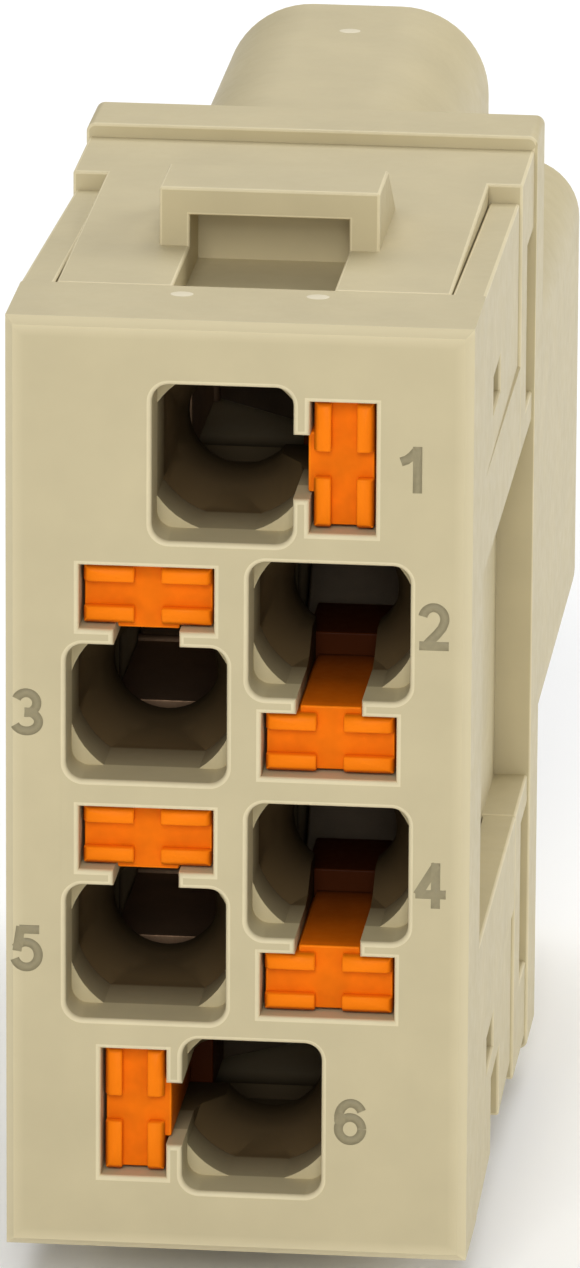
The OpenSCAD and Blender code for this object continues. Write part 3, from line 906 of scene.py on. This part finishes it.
def stroke_sweep(ink):
    """Sweeps a flat film of ink along the piece's own edges."""
    sweep = Sweep("Ink strokes", ("Stroke", "Film"))
    path = sweep.node("GeometryNodeMeshToCurve", [("Mesh", sweep.given["Geometry"])])
    upright = sweep.node("GeometryNodeSetCurveNormal", [("Curve", path.outputs[0])], mode="Z_UP")
    section = sweep.node(
        "GeometryNodeCurvePrimitiveQuadrilateral",
        [("Width", sweep.given["Stroke"]), ("Height", sweep.given["Film"])],
    )
    film = sweep.node(
        "GeometryNodeCurveToMesh",
        [("Curve", upright.outputs[0]), ("Profile Curve", section.outputs[0]), ("Fill Caps", True)],
    )
    joined = sweep.node(
        "GeometryNodeMeshBoolean",
        [("Mesh 2", film.outputs[0]), ("Self Intersection", True)], operation="UNION", solver="EXACT",
    )
    sweep.dress(joined.outputs[0], ink)
    return sweep


class CONTACT_MODULE_OT_pole_numbers(Operator):
    """Printed pole numbers on the terminal face"""

    bl_idname = "contact_module.pole_numbers"
    bl_label = "Pole Numbers"

    # Centre of each number on the face
    CENTRES = (
        (5.41 * MM, 10.75 * MM), (6.14 * MM, 5.70 * MM), (-6.60 * MM, 2.46 * MM),
        (6.09 * MM, -2.76 * MM), (-6.62 * MM, -5.32 * MM), (3.63 * MM, -10.68 * MM),
    )

    def execute(self, context):
        look = context.scene.contact_module.print
        sweep = stroke_sweep(number_ink("number_ink", look))
        across = look.width - look.stroke
        up = look.height - look.stroke
        for pole, ((x, z), strokes) in enumerate(zip(self.CENTRES, NUMBERS), 1):
            points = []
            lines = []
            for stroke in strokes:
                first = len(points)
                points += [((px - 0.5) * across, (py - 0.5) * up, 0) for px, py in stroke]
                lines += [(i, i + 1) for i in range(first, len(points) - 1)]
            mesh = bpy.data.meshes.new(f"pole_number_{pole}")
            mesh.from_pydata(points, lines, [])
            number = new_piece(f"pole_number_{pole}", mesh)
            sweep.run(number, Stroke=look.stroke, Film=look.film)
            number.data.transform(
                Matrix.Translation((x, 0, z)) @ Matrix.Rotation(math.radians(90), 4, "X")
            )
            in_place(number, "housing", "housing")
        return {"FINISHED"}


# Faces round and along the ball that is pressed flat to a gate mark, and its shape for a radius of 1
MARK_SEGMENTS = 24
MARK_RINGS = 12
MARK_SHAPE = (1.0, 0.8, 0.035)


def gate_sweep(plastic):
    """Sets a flat round mark on each point of the piece."""
    sweep = Sweep("Gate marks", ("Radius",))
    mark = sweep.node(
        "GeometryNodeMeshUVSphere",
        [("Segments", MARK_SEGMENTS), ("Rings", MARK_RINGS), ("Radius", sweep.given["Radius"])],
    )
    flat = sweep.node(
        "GeometryNodeTransform", [("Geometry", mark.outputs[0]), ("Scale", MARK_SHAPE)]
    )
    points = sweep.node("GeometryNodeMeshToPoints", [("Mesh", sweep.given["Geometry"])])
    spread = sweep.node(
        "GeometryNodeInstanceOnPoints", [("Points", points.outputs[0]), ("Instance", flat.outputs[0])]
    )
    sweep.dress(spread.outputs[0], plastic)
    return sweep


class CONTACT_MODULE_OT_gate_marks(Operator):
    """Pale gate marks of the two mouldings, on the top and the bottom"""

    bl_idname = "contact_module.gate_marks"
    bl_label = "Gate Marks"

    # Marks on the top. The bottom has the same ones, turned half round about Y
    TOP = (
        (-2.13 * MM, 3.27 * MM, 15.25 * MM),
        (2.11 * MM, 3.44 * MM, 15.25 * MM),
        (-0.17 * MM, 36.7 * MM, 15.40 * MM),
    )
    # Angle in degrees at which the marks' smooth shading stops
    MARK_SMOOTH = 60

    def execute(self, context):
        look = context.scene.contact_module.housing
        bottom = tuple((-x, y, -z) for x, y, z in self.TOP)
        mesh = bpy.data.meshes.new("gate_marks")
        mesh.from_pydata(self.TOP + bottom, [], [])
        marks = new_piece("gate_marks", mesh)
        sweep = gate_sweep(housing_plastic("gate_plastic", look.gate_colour, look))
        sweep.run(marks, Radius=look.gate_radius)
        shade(marks, self.MARK_SMOOTH)
        in_place(marks, "housing", "housing")
        return {"FINISHED"}


# Studio


class CONTACT_MODULE_OT_studio(Operator):
    """Pale floor, soft white tent, softboxes and the camera"""

    bl_idname = "contact_module.studio"
    bl_label = "Studio"

    # Half the width of the floor
    FLOOR_HALF = 3.0
    # Name, place and width of each softbox, and the setting that holds its power
    SOFTBOXES = (
        ("Front softbox", (0.0, -1.2, 0.78), 0.6, "front"),
        ("Fill softbox", (0.1, -1.2, 0.22), 0.4, "fill"),
        ("Top softbox", (0.0, 0.4, 0.55), 0.5, "top"),
        ("Right softbox", (0.5, 0.25, 0.25), 0.4, "right"),
        ("Left softbox", (-0.5, 0.25, 0.25), 0.4, "left"),
    )
    # Place that the softboxes look at
    AIM = Vector((0, 0.015, 0))
    # Width of the camera's sensor in millimetres, and the nearest and farthest that it sees in metres
    SENSOR = 36
    NEAREST = 0.01
    FARTHEST = 20

    def execute(self, context):
        look = context.scene.contact_module.studio
        self.lay_floor(look)
        self.hang_tent(context.scene, look)
        for name, place, size, setting in self.SOFTBOXES:
            self.hang_softbox(context.scene, name, place, size, getattr(look, setting))
        self.set_camera(context.scene, look)
        context.scene.view_settings.view_transform = "Standard"
        return {"FINISHED"}

    def lay_floor(self, look):
        half = self.FLOOR_HALF
        mesh = bpy.data.meshes.new("studio_floor")
        mesh.from_pydata(
            [(-half, -half, 0), (half, -half, 0), (half, half, 0), (-half, half, 0)], [], [(0, 1, 2, 3)]
        )
        mesh.transform(Matrix.Translation((0, 0, CAD_BOX[0].z)))
        mesh.materials.append(studio_paper("studio_paper", look))
        new_piece("studio_floor", mesh)

    def hang_tent(self, scene, look):
        world = bpy.data.worlds.new("White tent")
        world.use_nodes = True
        background = world.node_tree.nodes["Background"]
        background.inputs["Color"].default_value = (1, 1, 1, 1)
        background.inputs["Strength"].default_value = look.tent
        scene.world = world

    def hang_softbox(self, scene, name, place, size, watts):
        light = bpy.data.lights.new(name, "AREA")
        light.shape = "SQUARE"
        light.size = size
        light.energy = watts
        softbox = bpy.data.objects.new(name, light)
        scene.collection.objects.link(softbox)
        softbox.location = place
        softbox.rotation_euler = (self.AIM - Vector(place)).to_track_quat("-Z", "Y").to_euler()

    def set_camera(self, scene, look):
        data = bpy.data.cameras.new("Camera")
        data.sensor_width = self.SENSOR
        data.lens = look.lens
        data.clip_start = self.NEAREST
        data.clip_end = self.FARTHEST
        camera = bpy.data.objects.new("Camera", data)
        scene.collection.objects.link(camera)
        back = Vector((
            math.sin(look.azimuth) * math.cos(look.elevation),
            -math.cos(look.azimuth) * math.cos(look.elevation),
            math.sin(look.elevation),
        ))
        level = (-back).to_track_quat("-Z", "Y").to_matrix().to_4x4()
        camera.matrix_world = (
            Matrix.Translation(look.place) @ level @ Matrix.Rotation(look.roll, 4, "Z")
        )
        scene.camera = camera


# Add-on


class ModuleSettings(PropertyGroup):
    housing: PointerProperty(type=HousingSettings)
    pusher: PointerProperty(type=PusherSettings)
    metal: PointerProperty(type=MetalSettings)
    print: PointerProperty(type=PrintSettings)
    studio: PointerProperty(type=StudioSettings)


OPERATORS = (
    CONTACT_MODULE_OT_front_cap,
    CONTACT_MODULE_OT_contact_carrier,
    CONTACT_MODULE_OT_pushers,
    CONTACT_MODULE_OT_clamp_springs,
    CONTACT_MODULE_OT_current_bars,
    CONTACT_MODULE_OT_socket_contacts,
    CONTACT_MODULE_OT_pole_numbers,
    CONTACT_MODULE_OT_gate_marks,
    CONTACT_MODULE_OT_studio,
)


class CONTACT_MODULE_PT_looks(Panel):
    """Sizes, colours and building steps of the contact module"""

    bl_idname = "CONTACT_MODULE_PT_looks"
    bl_label = "Contact Module"
    bl_space_type = "VIEW_3D"
    bl_region_type = "UI"
    bl_category = "Contact Module"

    def draw(self, context):
        for name in ("housing", "pusher", "metal", "print", "studio"):
            group = getattr(context.scene.contact_module, name)
            box = self.layout.box()
            for prop in group.bl_rna.properties:
                if prop.identifier not in ("rna_type", "name"):
                    box.prop(group, prop.identifier)
        for operator in OPERATORS:
            self.layout.operator(operator.bl_idname)


CLASSES = (
    HousingSettings, PusherSettings, MetalSettings, PrintSettings, StudioSettings, ModuleSettings,
    *OPERATORS, CONTACT_MODULE_PT_looks,
)


def register():
    for cls in CLASSES:
        bpy.utils.register_class(cls)
    bpy.types.Scene.contact_module = PointerProperty(type=ModuleSettings)


def unregister():
    del bpy.types.Scene.contact_module
    for cls in reversed(CLASSES):
        bpy.utils.unregister_class(cls)


def main():
    register()
    bpy.ops.contact_module.studio()
    bpy.ops.contact_module.front_cap()
    bpy.ops.contact_module.contact_carrier()
    bpy.ops.contact_module.pushers()
    bpy.ops.contact_module.clamp_springs()
    bpy.ops.contact_module.current_bars()
    bpy.ops.contact_module.socket_contacts()
    bpy.ops.contact_module.pole_numbers()
    bpy.ops.contact_module.gate_marks()


if __name__ == "__main__":
    main()
